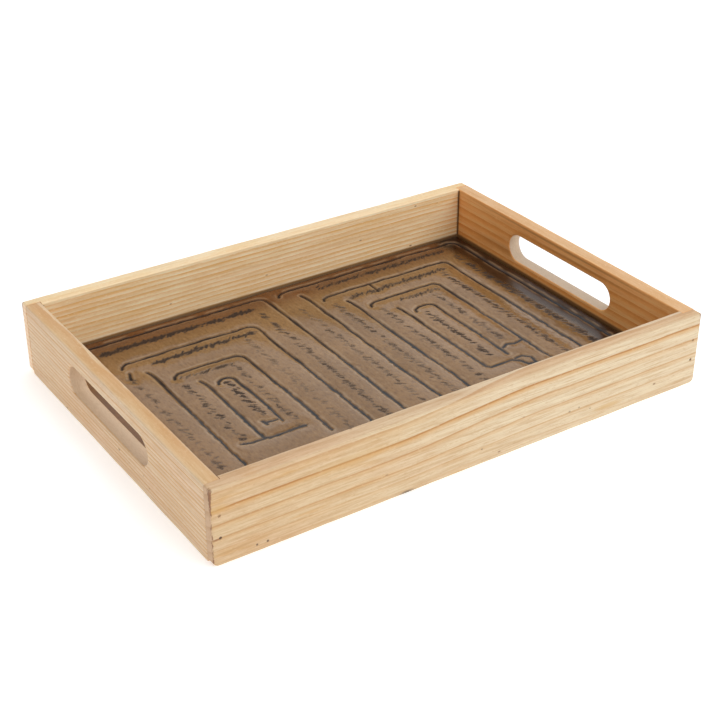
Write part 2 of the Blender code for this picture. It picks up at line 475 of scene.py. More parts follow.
def arch_path(hook_x, top_y, right_x, end_y):
    """A hook, a top run, a rounded corner and the right side of one rectangle."""
    radius = 7.0
    if hook_x is None:
        path = [(OFF_LEFT, top_y)]
    else:
        path = [(hook_x, top_y - 6), (hook_x + 1.5, top_y - 2.5), (hook_x + 6, top_y)]
    for i in range(7):
        angle = 0.5 * math.pi * (1 - i / 6)
        path.append((right_x - radius + radius * math.cos(angle), top_y - radius + radius * math.sin(angle)))
    return path + [(right_x, end_y)]


def leg_path(x, top_y, end_y, foot_x):
    """The left side of one rectangle, and its foot where it has one."""
    path = [(x - 1.8, top_y), (x - 0.6, top_y - 5), (x, top_y - 12)]
    if foot_x is None:
        return path + [(x, end_y)]
    return path + [(x, end_y + 3), (x + 3, end_y), (foot_x, end_y)]


def channel_paths():
    paths = [arch_path(*arch) for arch in ARCHES]
    paths += [leg_path(*leg) for leg in LEGS]
    return paths + list(BRANCHES)


def add_ticks(x, y, dark):
    """Short slanting ticks along the crests, where the casting cracked and took more glaze."""
    random = np.random.default_rng(11)
    for start, end, density, strength in CREST_ROWS:
        start, end = np.array(start, float), np.array(end, float)
        length = np.hypot(*(end - start))
        along = (end - start) / length
        across = np.array((-along[1], along[0]))
        for _ in range(int(TICKS_PER_MM * length * density)):
            middle = start + along * random.uniform(0, length) + across * random.normal(0, 1.3)
            turn = random.normal(0.75, 0.28)
            reach = random.uniform(0.7, 2.3)
            side = along * math.cos(turn) + across * math.sin(turn)
            bow = np.array((-side[1], side[0])) * random.uniform(-0.25, 0.25)
            tick = (middle - side * reach, middle + bow, middle + side * reach)
            depth = strength * random.uniform(0.55, 1.1)
            half = random.uniform(0.3, 0.7)
            columns = np.searchsorted(x[0], (middle[0] - TICK_WINDOW, middle[0] + TICK_WINDOW))
            rows = np.searchsorted(y[:, 0], (middle[1] - TICK_WINDOW, middle[1] + TICK_WINDOW))
            window = (slice(*rows), slice(*columns))
            if 0 in x[window].shape:
                continue
            away = distance_to_path(x[window], y[window], tick)
            mark = depth * (1 - smooth_step(away, half * 0.4, half + 0.8 * GRID_STEP))
            dark[window] = np.maximum(dark[window], mark)


def add_creases(x, y, dark):
    """Soft, ragged creases along some of the crests, broken up by noise."""
    broken = lattice_noise(x, y, 5.5, 13) + 0.4 * lattice_noise(x, y, 2.1, 14)
    broken = smooth_step(broken, -1.0, -0.1)
    for line, half, strength in CREASES:
        away = distance_to_path(x, y, line)
        mark = 0.8 * strength * broken * (1 - smooth_step(away, 0.0, 1.5 * half))
        np.maximum(dark, mark, out=dark)


def relief(x, y):
    """Height below the highest crest, and the shares of glaze laid down and of painted highlight, at each
    grid point.
    """
    # The channels waver, and their edges are more ragged towards the front
    wander_x = 1.0 * lattice_noise(x, y, 38, 1) + 0.45 * lattice_noise(x, y, 12, 2)
    wander_y = 0.9 * lattice_noise(x, y, 41, 3) + 0.45 * lattice_noise(x, y, 11, 4)
    ragged = 0.25 + 0.75 * smooth_step(-y, -45, 30)
    wander_x += 0.55 * ragged * lattice_noise(x, y, 3.1, 5)
    wander_y += 0.40 * lattice_noise(x, y, 3.4, 6)
    nearest = np.full(x.shape, 1e9)
    for path in channel_paths():
        nearest = np.minimum(nearest, distance_to_path(x + wander_x, y + wander_y, path))

    # Dark glaze fills the channels, and the shoulders beside them carry a painted highlight, in patches
    width = 1.35 + 0.35 * lattice_noise(x, y, 17, 7)
    channel = np.exp(-((nearest / width) ** 2))
    dark = 1 - smooth_step(nearest, 0.55 * width, 1.25 * width)
    dark *= 0.92 + 0.10 * lattice_noise(x, y, 6, 8)
    shoulder_highlight = np.exp(-(((nearest - 2.7) / 0.9) ** 2))
    shoulder_highlight *= smooth_step(lattice_noise(x, y, 9, 15), -0.8, 0.3)

    marks = np.zeros(x.shape)
    add_ticks(x, y, marks)
    add_creases(x + 1.6 * wander_x, y + 1.6 * wander_y, marks)

    # The glass swells between the channels, and is uneven and finely wrinkled on the crests
    pillow = 1 - (1 - np.clip(nearest / PILLOW_REACH, 0, 1)) ** 2
    height = PILLOW_HEIGHT * (pillow - 1) - CHANNEL_DEPTH * channel
    height += 0.12 * lattice_noise(x, y, 30, 9) + 0.035 * lattice_noise(x, y, 8, 10)
    height += 0.06 * lattice_noise(x, 0.5 * y, 2.4, 12) * smooth_step(nearest, 4, 8)
    height -= 0.22 * marks
    glaze = {"channel": dark, "stroke": marks, "shoulder_highlight": shoulder_highlight}
    return height - height.max(), {name: np.clip(share, 0, 1) for name, share in glaze.items()}


def panel_axis(low, high):
    count = round((high - low) / GRID_STEP)
    return np.linspace(low, high, count + 1)


def round_corners(x, y, low, high):
    """Bend the grid's four corners so that the panel's outline has a small radius there."""
    middle, half = (low + high) / 2, (high - low) / 2
    for x_side in (-1, 1):
        for y_side in (-1, 1):
            u = (x_side * (x - middle[0]) - half[0] + PANEL_CORNER) / PANEL_CORNER
            v = (y_side * (y - middle[1]) - half[1] + PANEL_CORNER) / PANEL_CORNER
            inside = (u > 0) & (v > 0)
            new_u = u * np.sqrt(np.maximum(0, 1 - v * v / 2))
            new_v = v * np.sqrt(np.maximum(0, 1 - u * u / 2))
            x = np.where(inside, middle[0] + x_side * (half[0] + PANEL_CORNER * (new_u - 1)), x)
            y = np.where(inside, middle[1] + y_side * (half[1] + PANEL_CORNER * (new_v - 1)), y)
    return x, y


def grid_outline(rows, columns):
    """Indices of a grid's border points, anticlockwise seen from above."""
    last = (rows - 1) * columns
    front = list(range(columns))
    right = [columns - 1 + columns * i for i in range(1, rows)]
    back = [last + i for i in range(columns - 2, -1, -1)]
    left = [columns * i for i in range(rows - 2, 0, -1)]
    return front + right + back + left


def make_panel():
    """The cast glass: a closed slab whose top is the relief."""
    low, high = (np.array(corner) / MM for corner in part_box("relief_panel"))
    flat_x, flat_y = np.meshgrid(panel_axis(low[0], high[0]), panel_axis(low[1], high[1]))
    height, glaze = relief(flat_x, flat_y)
    x, y = round_corners(flat_x, flat_y, low[:2], high[:2])
    to_border = np.minimum.reduce([flat_x - low[0], high[0] - flat_x, flat_y - low[1], high[1] - flat_y])
    inward = np.clip(PANEL_EASING - to_border, 0, PANEL_EASING)
    height = height - (PANEL_EASING - np.sqrt(PANEL_EASING**2 - inward**2 * 0.98))

    rows, columns = x.shape
    top = np.stack((x, y, high[2] + height), -1).reshape(-1, 3)
    outline = grid_outline(rows, columns)
    bottom = top[outline].copy()
    bottom[:, 2] = low[2]
    points = np.concatenate((top, bottom)) * MM

    first = (np.arange(rows - 1)[:, None] * columns + np.arange(columns - 1)).ravel()
    faces = np.stack((first, first + 1, first + columns + 1, first + columns), -1).tolist()
    below = len(top)
    for i, corner in enumerate(outline):
        j = (i + 1) % len(outline)
        faces.append((corner, below + i, below + j, outline[j]))
    faces.append(tuple(below + i for i in reversed(range(len(outline)))))

    mesh = bpy.data.meshes.new("relief_panel_glass")
    mesh.from_pydata(points.tolist(), [], faces)
    for name, values in glaze.items():
        attribute = mesh.attributes.new(name, "FLOAT", "POINT")
        padded = np.concatenate((values.ravel(), np.zeros(len(bottom))))
        attribute.data.foreach_set("value", padded.astype(np.float32))
    mesh.validate()
    panel = add_object("relief_panel_glass", mesh)
    panel.data.shade_smooth()
    panel.data.set_sharp_from_angle(angle=GLASS_SMOOTH_ANGLE)
    place(panel, "bronze_glass", "relief_panel")
    return panel


# ---------------------------------------------------------------- materials

# Sizes in millimetres
BOARD = (HIGH.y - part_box("back_board")[0].y) / MM
RIM = HIGH.z / MM
GLASS_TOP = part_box("relief_panel")[1].z / MM

# Colours, as linear red, green and blue
RESIN = (0.60, 0.36, 0.12)
PITCH = (0.10, 0.045, 0.02)
SOOT = (0.03, 0.015, 0.01)
SPLIT = (0.27, 0.105, 0.035)
PINHOLE = (0.24, 0.10, 0.035)
JUNCTION_SHADE_AND_STAIN = (0.13, 0.052, 0.014)
CORNER_RED = (0.22, 0.075, 0.022)
GLASS_BROWN = (0.245, 0.128, 0.044)
GLASS_GOLD = (0.315, 0.170, 0.064)
GLASS_SHADE = (0.12, 0.05, 0.014)
GLASS_LIGHT = (0.42, 0.26, 0.12)
GLASS_SHOULDER_HIGHLIGHT = (0.42, 0.28, 0.16)
GLAZE_MARK = (0.026, 0.014, 0.009)
GLAZE_BROWN = (0.016, 0.006, 0.002)
GLAZE_SLATE_REFLECTION = (0.040, 0.047, 0.056)
BIRCH = (0.60, 0.43, 0.26)
BIRCH_WARM = (0.66, 0.46, 0.28)
BIRCH_BAND = (0.42, 0.24, 0.11)
BIRCH_FIBRE = (0.36, 0.21, 0.10)
STEEL = (0.26, 0.20, 0.15)
RUST = (0.12, 0.055, 0.025)
FILLER_DARK = (0.40, 0.25, 0.13)
FILLER_PALE = (0.52, 0.34, 0.18)

# Painted shade that the glass is multiplied by in the strips beside the back, right and left boards; beside
# the back board it is also a painted reflection of the board
BACK_STRIP_SHADE_AND_REFLECTION = (0.56, 0.37, 0.20)
RIGHT_STRIP_SHADE = (0.13, 0.085, 0.06)
LEFT_STRIP_SHADE = (0.60, 0.44, 0.22)


class Shader:
    """Adds nodes to one material. A method that adds a node gives back its output socket."""

    def __init__(self, name):
        self.material = bpy.data.materials.new(name)
        self.material.use_nodes = True
        self.tree = self.material.node_tree
        self.surface = self.tree.nodes["Principled BSDF"]

    def feed(self, socket, value):
        """Link the socket to another one, or set it to a constant."""
        if isinstance(value, bpy.types.NodeSocket):
            self.tree.links.new(value, socket)
        elif hasattr(value, "__len__") and len(value) == 3 and len(socket.default_value) == 4:
            socket.default_value = (*value, 1.0)
        else:
            socket.default_value = value

    def node(self, kind, inputs, output=0, **settings):
        made = self.tree.nodes.new(kind)
        for key, value in settings.items():
            setattr(made, key, value)
        for key, value in inputs.items():
            self.feed(made.inputs[key], value)
        return made.outputs[output]

    def math(self, operation, a, b=0.0, c=0.0):
        return self.node("ShaderNodeMath", {0: a, 1: b, 2: c}, operation=operation)

    def add(self, a, b):
        return self.math("ADD", a, b)

    def times(self, a, b):
        return self.math("MULTIPLY", a, b)

    def position(self):
        """The point on the piece, in millimetres, as three sockets."""
        place_of = self.node("ShaderNodeTexCoord", {}, "Object")
        scaled = self.node("ShaderNodeVectorMath", {0: place_of, "Scale": 1000.0}, operation="SCALE")
        split = self.tree.nodes.new("ShaderNodeSeparateXYZ")
        self.feed(split.inputs[0], scaled)
        return split.outputs[0], split.outputs[1], split.outputs[2]

    def normal(self):
        """How far the surface faces along each axis, whichever way, as three sockets."""
        facing = self.node("ShaderNodeNewGeometry", {}, "Normal")
        split = self.tree.nodes.new("ShaderNodeSeparateXYZ")
        self.feed(split.inputs[0], facing)
        return [self.math("ABSOLUTE", split.outputs[k]) for k in range(3)]

    def vector(self, x, y, z):
        return self.node("ShaderNodeCombineXYZ", {0: x, 1: y, 2: z})

    def stretched(self, uvw, lengths, shift=0.0):
        """A point whose coordinates are divided by the lengths, for a stretched texture."""
        parts = [self.math("MULTIPLY_ADD", uvw[k], 1.0 / lengths[k], shift) for k in range(3)]
        return self.vector(*parts)

    def noise(self, point, detail=2.0, roughness=0.5, distortion=0.0):
        inputs = {"Vector": point, "Scale": 1.0, "Detail": detail, "Roughness": roughness}
        inputs["Distortion"] = distortion
        return self.node("ShaderNodeTexNoise", inputs)

    def centred(self, value, amount):
        """Noise from 0 to 1, turned into an offset from -amount to amount."""
        return self.math("MULTIPLY_ADD", value, 2.0 * amount, -amount)

    def fade(self, value, low, high, start=0.0, end=1.0):
        """Goes smoothly from start to end as the value goes from low to high."""
        inputs = {"Value": value, "From Min": low, "From Max": high, "To Min": start, "To Max": end}
        return self.node("ShaderNodeMapRange", inputs, interpolation_type="SMOOTHSTEP")

    def mix(self, share, a, b, blend="MIX"):
        """Colour a with a share of colour b; with blend MULTIPLY, of a times b."""
        made = self.tree.nodes.new("ShaderNodeMix")
        made.data_type = "RGBA"
        made.blend_type = blend
        made.clamp_factor = True
        self.feed(made.inputs[0], share)
        self.feed(made.inputs[6], a)
        self.feed(made.inputs[7], b)
        return made.outputs[2]

    def curve(self, value, points):
        """A value looked up along a line through (value, result) points, with results from 0 to 1."""
        start, end = points[0][0], points[-1][0]
        made = self.tree.nodes.new("ShaderNodeFloatCurve")
        line = made.mapping.curves[0]
        for x, y in points[1:-1]:
            line.points.new((x - start) / (end - start), y)
        line.points[0].location = (0.0, points[0][1])
        line.points[-1].location = (1.0, points[-1][1])
        for point in line.points:
            point.handle_type = "VECTOR"
        made.mapping.update()
        share = self.math("MULTIPLY_ADD", value, 1.0 / (end - start), -start / (end - start))
        self.feed(made.inputs["Value"], share)
        return made.outputs[0]

    def bump(self, height, distance, strength):
        """A normal bent by the height, which stands for this distance in metres."""
        inputs = {"Height": height, "Distance": distance, "Strength": strength}
        return self.node("ShaderNodeBump", inputs)

    def finish(self, color, roughness, normal, **constants):
        """Feed the surface, with constants for its other sockets, and give back the material."""
        self.feed(self.surface.inputs["Base Color"], color)
        self.feed(self.surface.inputs["Roughness"], roughness)
        self.feed(self.surface.inputs["Normal"], normal)
        for name, value in constants.items():
            self.surface.inputs[name.replace("_", " ")].default_value = value
        return self.material


def ring_phase(s, grain, level):
    """Counts growth rings with height: a whole number is a dark line, drawn with some strength."""
    if "lines" not in grain:
        phase = s.math("MULTIPLY_ADD", level, 1.0 / grain["spacing"], 0.31 * grain["seed"])
        ring = s.add(s.math("FLOOR", phase), grain["seed"])
        strength = s.node("ShaderNodeTexWhiteNoise", {"W": ring}, noise_dimensions="1D")
        return phase, s.math("MULTIPLY_ADD", strength, 1.0 - grain["faintest"], grain["faintest"])
    lines = grain["lines"]
    heights = [lines[0][0] - 12.0] + [height for height, strength in lines] + [lines[-1][0] + 12.0]
    strengths = [0.2] + [strength for height, strength in lines] + [0.2]
    last = len(heights) - 1.0
    phase = s.curve(level, [(height, i / last) for i, height in enumerate(heights)])
    strength = s.curve(phase, [(i / last, strength) for i, strength in enumerate(strengths)])
    return s.times(phase, last), strength


def grain_level(s, grain, u, depth, w):
    """Height within the tree's rings: the board's own height, bent by drift and noise."""
    seed = grain["seed"]
    slow = s.noise(s.stretched((u, depth, w), (150.0, 60.0, 45.0), seed), 2.0, 0.5)
    fine = s.noise(s.stretched((u, depth, w), (38.0, 20.0, 14.0), seed + 3.0), 2.0, 0.55)
    rise = s.fade(u, grain["rise_from"], grain["rise_to"], 0.0, grain["rise"])
    rise = s.times(rise, s.fade(w, 5.0, 42.0, 0.35, 1.15))
    level = s.math("SUBTRACT", s.add(w, s.times(depth, grain["lean"])), rise)
    level = s.add(level, s.centred(slow, grain["wave"]))
    return s.add(level, s.centred(fine, grain["ripple"]))


def board_edges(s, node, v, w, along_x):
    """1 along the board's long edges, fading to 0 over about two millimetres."""
    low, high = (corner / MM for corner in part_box(node))
    k = 1 if along_x else 0
    nearness = []
    for value, start, end in ((v, low[k], high[k]), (w, low.z, high.z)):
        middle, half = (start + end) / 2, (end - start) / 2
        offset = s.math("ABSOLUTE", s.math("SUBTRACT", value, middle))
        nearness.append(s.fade(offset, half - 2.4, half - 0.2))
    return s.times(*nearness)


def depth_in_board(s, node, v, along_x):
    """Distance inward from the board's outer face."""
    low, high = (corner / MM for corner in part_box(node))
    k = 1 if along_x else 0
    if low[k] < 0:
        return s.math("SUBTRACT", v, low[k])
    return s.math("SUBTRACT", high[k], v)


def growth_rings(s, grain, point, depth):
    """Each ring's soft band and hard line, and how strongly the ring is drawn."""
    u, _, w = point
    phase, strength = ring_phase(s, grain, grain_level(s, grain, u, depth, w))
    within = s.math("FRACT", phase)
    patchy = s.noise(s.stretched(point, (60.0, 30.0, 9.0), grain["seed"] + 8.0), 2.0)
    strength = s.times(strength, s.fade(patchy, 0.25, 0.65, 0.7, 1.1))
    before_next = s.fade(within, 0.97, 1.0, 1.0, 0.0)
    band = s.times(s.fade(within, grain["band_from"], 0.97), before_next)
    line = s.times(s.fade(within, grain["line_from"], 0.94), before_next)
    return band, line, strength


def face_color(s, grain, point, rings, fibre, streak):
    """The board's face: patches and streaks first, then its rings, flecks and marks on top."""
    u, _, w = point
    band, line, strength = rings
    seed = grain["seed"]
    shade = s.noise(s.stretched(point, (30.0, 3.0, 1.5), seed + 6.0), 2.0, 0.6)
    speckle = s.noise(s.stretched(point, (3.6, 1.3, 1.0), seed + 9.0), 2.0, 0.7)
    blotch = s.noise(s.stretched(point, (75.0, 40.0, 22.0), seed + 2.0), 2.0)
    flare = s.noise(s.stretched(point, (48.0, 20.0, 5.5), seed + 7.0), 2.0)
    canal = s.noise(s.stretched(point, (7.0, 0.5, 0.42), seed + 1.0), 1.0)

    color = s.mix(s.fade(blotch, 0.35, 0.7), grain["early"], grain["blush"])
    color = s.mix(s.fade(flare, 0.52, 0.72, 0.0, grain["flare"]), color, grain["amber"])
    start, end, share = grain["cream"]
    color = s.mix(s.fade(u, start, end, 0.0, share), color, grain["pale"])
    color = s.mix(s.fade(streak, 0.4, 0.7, 0.0, 0.5), color, grain["mid"])
    color = s.mix(s.fade(shade, 0.48, 0.7, 0.0, 0.45), color, grain["mid"])
    color = s.mix(s.fade(shade, 0.5, 0.3, 0.0, 0.5), color, grain["rubbed"])
    color = s.mix(s.fade(fibre, 0.45, 0.7, 0.0, 0.4), color, grain["mid"])
    color = s.mix(s.times(band, s.times(strength, grain["band"])), color, grain["amber"])
    color = s.mix(s.times(line, s.times(strength, grain["line"])), color, grain["late"])
    color = s.mix(s.fade(speckle, 0.55, 0.75, 0.0, 0.45), color, grain["mid"])
    color = s.mix(s.fade(speckle, 0.45, 0.25, 0.0, 0.45), color, grain["rubbed"])
    color = s.mix(s.times(s.fade(canal, 0.66, 0.78), 0.4), color, grain["late"])
    color = pinholes(s, color, grain, point)
    return stains(s, color, grain, u, w)


def end_color(s, grain, band, rays):
    """Sawn end grain, with its rings and rays."""
    wood = grain["end"]
    color = s.mix(s.times(band, 0.6), wood, tinted(wood, 0.80, 0.68, 0.56))
    return s.mix(s.fade(rays, 0.45, 0.8, 0.0, 0.45), color, tinted(wood, 0.6, 0.45, 0.35))


def slot_wall(s, color, grain, facing, w, rays):
    """The sawn inside of a hand slot, which turns away from the board's faces."""
    at_slot = s.times(s.fade(w, 12.0, 16.0), s.fade(w, RIM - 4.0, RIM - 6.0))
    wall = s.times(at_slot, s.fade(facing[0], 0.6, 0.2))
    worn = tinted(grain["wall"], 0.80, 0.72, 0.60)
    worn = s.mix(s.fade(rays, 0.35, 0.7, 0.0, 0.5), grain["wall"], worn)
    return s.mix(s.times(wall, 0.95), color, worn)


def pine_material(node, grain):
    """Lacquered pine with growth rings, fibre, resin canals, pinholes, end grain and worn edges."""
    s = Shader(node + "_pine")
    along_x = node in LONG_BOARDS
    x, y, z = s.position()
    u, v, w = point = (x, y, z) if along_x else (y, x, z)
    facing = s.normal()
    seed = grain["seed"]
    depth = depth_in_board(s, node, v, along_x)
    rings = growth_rings(s, grain, point, depth)
    fibre = s.noise(s.stretched(point, (26.0, 0.9, 0.55), seed), 3.0, 0.6)
    streak = s.noise(s.stretched(point, (70.0, 5.0, 2.6), seed + 5.0), 3.0, 0.6)
    rays = s.noise(s.stretched(point, (4.0, 0.9, 2.6), seed), 3.0, 0.7)

    end_grain = s.fade(facing[0 if along_x else 1], 0.55, 0.8)
    color = face_color(s, grain, point, rings, fibre, streak)
    color = s.mix(end_grain, color, end_color(s, grain, rings[0], rays))
    if along_x:
        color = corner_stain(s, color, depth, u, w, seed)
    else:
        color = slot_wall(s, color, grain, facing, w, rays)
    # Painted shade, with a dark joint line, where the inner face meets the glass and the next board
    color = inner_shade_and_stain(s, color, depth, u, w, along_x)
    # Painted light: the outer face and the rim tops are tinted for how light falls on them
    outside = s.times(s.fade(depth, 1.6, 0.8), s.fade(w, RIM - 0.6, RIM - 1.4))
    color = s.mix(outside, color, grain["outside"], "MULTIPLY")
    top = s.times(s.fade(facing[2], 0.6, 0.9), s.fade(w, RIM - 10.0, RIM - 4.0))
    color = s.mix(top, color, grain["top"], "MULTIPLY")
    edges = board_edges(s, node, v, w, along_x)
    color = s.mix(s.times(edges, s.fade(streak, 0.3, 0.7, 0.1, 0.5)), color, grain["rubbed"])

    roughness = s.fade(fibre, 0.2, 0.8, 0.46, 0.58)
    roughness = s.math("MULTIPLY_ADD", end_grain, 0.2, roughness)
    raised = s.add(s.times(fibre, 0.6), s.times(rings[1], 0.35))
    normal = s.bump(raised, 0.00007, 0.8)
    return s.finish(color, roughness, normal, Coat_Weight=0.12, Coat_Roughness=0.35)


def inner_shade_and_stain(s, color, depth, u, w, along_x):
    """Painted shade and a dark joint line on the inner face, along the glass and beside the next board."""
    next_face = -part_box("left_handle_board" if along_x else "front_board")[1] / MM
    limit = next_face.x if along_x else next_face.y
    beside = s.fade(s.math("ABSOLUTE", u), limit - 2.0, limit - 0.4, 0.0, 0.85)
    above = s.fade(w, GLASS_TOP + 2.2, GLASS_TOP - 0.5, 0.0, 0.85)
    inside = s.times(s.fade(depth, BOARD - 1.5, BOARD - 0.3), s.fade(w, RIM - 0.7, RIM - 1.7))
    return s.mix(s.times(inside, s.math("MAXIMUM", beside, above)), color, JUNCTION_SHADE_AND_STAIN)


def corner_stain(s, color, depth, u, w, seed):
    """Where the end meets the outer face: a ragged reddish-brown line, heavier near the rim."""
    from_end = s.math("SUBTRACT", HIGH.x / MM, s.math("ABSOLUTE", u))
    ragged = s.noise(s.vector(depth, s.times(w, 0.28), seed), 3.0, 0.6)
    reach = s.fade(ragged, 0.42, 0.62, 0.15, 1.5)
    reach = s.add(reach, s.fade(w, 38.0, 58.0, 0.0, 1.6))
    inward = s.math("MAXIMUM", depth, s.times(from_end, 1.6))
    share = s.fade(s.math("SUBTRACT", inward, reach), -0.7, 0.4, 0.8, 0.0)
    return s.mix(share, color, CORNER_RED)


def pinholes(s, color, grain, point):
    """Small dark pinholes and specks, a few centimetres apart, and more of them near the foot."""
    seed = grain["seed"]
    cells = {"Vector": s.stretched(point, (26.0, 40.0, 13.0), seed), "Scale": 1.0}
    away = s.node("ShaderNodeTexVoronoi", cells, "Distance")
    keep = s.noise(s.stretched(point, (34.0, 34.0, 17.0), seed + 4.0), 0.0)
    keep = s.add(keep, s.fade(point[2], 24.0, 10.0, 0.0, 0.12))
    speck = s.times(s.fade(away, 0.03, 0.075, 1.0, 0.0), s.fade(keep, 0.46, 0.6))
    return s.mix(s.times(speck, 0.8), color, PINHOLE)


def stains(s, color, grain, u, w):
    """A board's own marks, and a painted shadow line under the right board's rim: along, up, half length,
    half height, share and tint.
    """
    for along, up, half_length, half_height, share, tint in grain["stains"]:
        du = s.times(s.math("SUBTRACT", u, along), 1.0 / half_length)
        dw = s.times(s.math("SUBTRACT", w, up), 1.0 / half_height)
        away = s.math("SQRT", s.add(s.times(du, du), s.times(dw, dw)))
        color = s.mix(s.fade(away, 0.2, 1.0, share, 0.0), color, tint)
    return color


def tinted(wood, red, green, blue):
    return (wood[0] * red, wood[1] * green, wood[2] * blue)


def board_grain(wood, **changes):
    """One board's figure: the colours that follow from its wood, and how its rings run.

    cream is where along the board the paler wood starts, where it is full, and its share.
    The outer face and the rim are multiplied by outside and top: painted light, for how light falls on the
    rim and, on the right board, to take the painted orange shade off the outer face.
    """
    made = {
        "early": tinted(wood, 1.10, 1.13, 1.17),
        "blush": tinted(wood, 1.08, 1.02, 1.04),
        "amber": tinted(wood, 0.97, 0.73, 0.41),
        "mid": tinted(wood, 0.80, 0.64, 0.46),
        "late": tinted(wood, 0.70, 0.39, 0.13),
        "rubbed": tinted(wood, 1.16, 1.22, 1.34),
        "pale": tinted(wood, 1.22, 1.45, 1.80),
        "wall": tinted(wood, 0.98, 0.96, 1.02),
        "end": tinted(wood, 1.10, 1.00, 1.05),
        "outside": (1.0, 1.0, 1.0),
        "top": (1.0, 1.0, 1.0),
        "cream": (0.0, 1.0, 0.0),
        "faintest": 0.35,
        "flare": 0.4,
        "band_from": 0.45,
        "band": 0.95,
        "line_from": 0.83,
        "line": 0.95,
        "wave": 1.0,
        "ripple": 0.45,
        "lean": 0.12,
        "rise": 0.0,
        "rise_from": -60.0,
        "rise_to": 60.0,
        "stains": (),
    }
    made.update(changes)
    return made


GRAINS = {
    "front_board": board_grain(
        (0.62, 0.455, 0.262),
        top=(1.12, 1.05, 1.02),
        seed=1.0,
        lean=0.45,
        lines=((4.0, 0.15), (12.5, 0.3), (21.5, 0.45), (32.5, 0.6), (44.5, 1.1), (57.5, 0.35)),
        flare=0.75,
        cream=(-170.0, 70.0, 0.8),
        rise=6.0,
        rise_from=-80.0,
        rise_to=55.0,
        stains=(
            (-60.0, 0.4, 9.0, 2.6, 1.0, SOOT),
            (-18.0, 0.6, 12.0, 2.6, 0.6, RESIN),
            (122.0, 8.5, 20.0, 3.4, 0.6, RESIN),
            (-207.0, 21.0, 5.0, 1.3, 0.75, SPLIT),
            (-206.0, 44.0, 14.0, 4.0, 0.6, RESIN),
            (-178.0, 5.5, 1.2, 1.2, 1.0, PITCH),
            (-170.0, 5.2, 1.4, 1.4, 1.0, PITCH),
            (4.0, 12.5, 1.2, 0.9, 0.7, PITCH),
            (84.0, 16.0, 1.6, 1.0, 0.6, PITCH),
            (93.0, 16.5, 1.3, 0.9, 0.6, PITCH),
            (104.0, 12.0, 1.2, 0.9, 0.5, PITCH),
            (-100.0, 44.5, 55.0, 5.0, 0.35, RESIN),
        ),
    ),
    "back_board": board_grain(
        (1.0, 0.82, 0.54),
        top=(1.0, 1.06, 1.15),
        seed=2.0,
        spacing=4.05,
        faintest=0.45,
        wave=1.6,
        ripple=0.6,
        band_from=0.0,
        band=1.0,
        line_from=0.4,
        line=0.36,
        lean=0.05,
        cream=(-150.0, 120.0, 0.15),
    ),
    "left_handle_board": board_grain(
        (0.77, 0.58, 0.37),
        top=(1.0, 0.96, 0.86),
        seed=3.0,
        spacing=3.4,
        line=0.6,
        line_from=0.6,
        band=1.0,
        band_from=0.1,
    ),
    "right_handle_board": board_grain(
        # The wood is painted shade with orange bounce light, matched to the shaded inner face; top and
        # outside take it back on the rim and the outer face
        (1.0, 0.55, 0.21),
        top=(0.86, 1.12, 1.75),
        wall=(0.76, 0.62, 0.47),
        outside=(0.74, 1.02, 1.65),
        seed=4.0,
        spacing=8.0,
        wave=2.5,
        line=0.6,
        line_from=0.5,
        band_from=0.0,
        band=1.1,
        stains=(
            # Painted shadow: a dark line just under the rim's inner edge
            (0.0, 57.2, 150.0, 1.6, 0.45, (0.26, 0.10, 0.03)),
            (-30.0, 52.0, 90.0, 2.0, 0.35, (0.40, 0.17, 0.05)),
            (70.0, 28.0, 60.0, 6.0, 0.35, (0.42, 0.19, 0.06)),
        ),
    ),
}


def glass_material():
    """Bronze glass over a dark backing: the glaze pools dark in the channels and strokes. Painted shade lies
    in strips beside the boards, painted highlights on the shoulders and a painted reflection in the front
    channels.
    """
    s = Shader("bronze_glass")
    x, y, z = s.position()
    channel, stroke, shoulder_highlight = (
        s.node("ShaderNodeAttribute", {}, "Fac", attribute_name=name)
        for name in ("channel", "stroke", "shoulder_highlight")
    )
    cloud = s.noise(s.stretched((x, y, z), (60.0, 60.0, 60.0), 2.0), 3.0)
    mottle = s.noise(s.stretched((x, y, z), (2.2, 5.0, 4.0), 6.0), 3.0, 0.65)
    waver = s.centred(cloud, 8.0)
    # Painted shade of the boards on the glass, in strips beside the back board (with its painted
    # reflection), the right board and the left board
    back = s.fade(s.add(y, waver), 100.0, 124.0)
    right = s.fade(s.add(x, waver), 164.0, 178.0)
    left = s.fade(s.add(x, waver), -166.0, -176.0)

    color = s.mix(s.fade(cloud, 0.3, 0.7), GLASS_BROWN, GLASS_GOLD)
    color = s.mix(s.fade(mottle, 0.45, 0.75, 0.0, 0.5), color, GLASS_SHADE)
    color = s.mix(s.fade(mottle, 0.45, 0.25, 0.0, 0.4), color, GLASS_LIGHT)
    color = s.mix(back, color, BACK_STRIP_SHADE_AND_REFLECTION, "MULTIPLY")
    color = s.mix(right, color, RIGHT_STRIP_SHADE, "MULTIPLY")
    color = s.mix(left, color, LEFT_STRIP_SHADE, "MULTIPLY")
    # Painted highlight on the shoulders beside the channels
    color = s.mix(s.times(shoulder_highlight, 0.55), color, GLASS_SHOULDER_HIGHLIGHT)
    mark = s.fade(stroke, 0.0, 0.85)
    color = s.mix(s.times(mark, 0.92), color, GLAZE_MARK)
    # Channels towards the front turn slate instead of brown: a painted reflection
    slate_reflection = s.fade(s.add(y, s.centred(cloud, 60.0)), 50.0, -20.0)
    color = s.mix(channel, color, s.mix(slate_reflection, GLAZE_BROWN, GLAZE_SLATE_REFLECTION))

    roughness = s.fade(mottle, 0.2, 0.8, 0.13, 0.2)
    roughness = s.math("MAXIMUM", roughness, s.times(s.math("MAXIMUM", mark, channel), 0.75))
    roughness = s.math("MAXIMUM", roughness, s.times(s.math("MAXIMUM", right, left), 0.30))
    ripple = s.noise(s.stretched((x, y, z), (5.0, 5.0, 5.0), 1.0), 2.0)
    normal = s.bump(ripple, 0.00005, 0.5)
    return s.finish(color, roughness, normal, IOR=1.45)


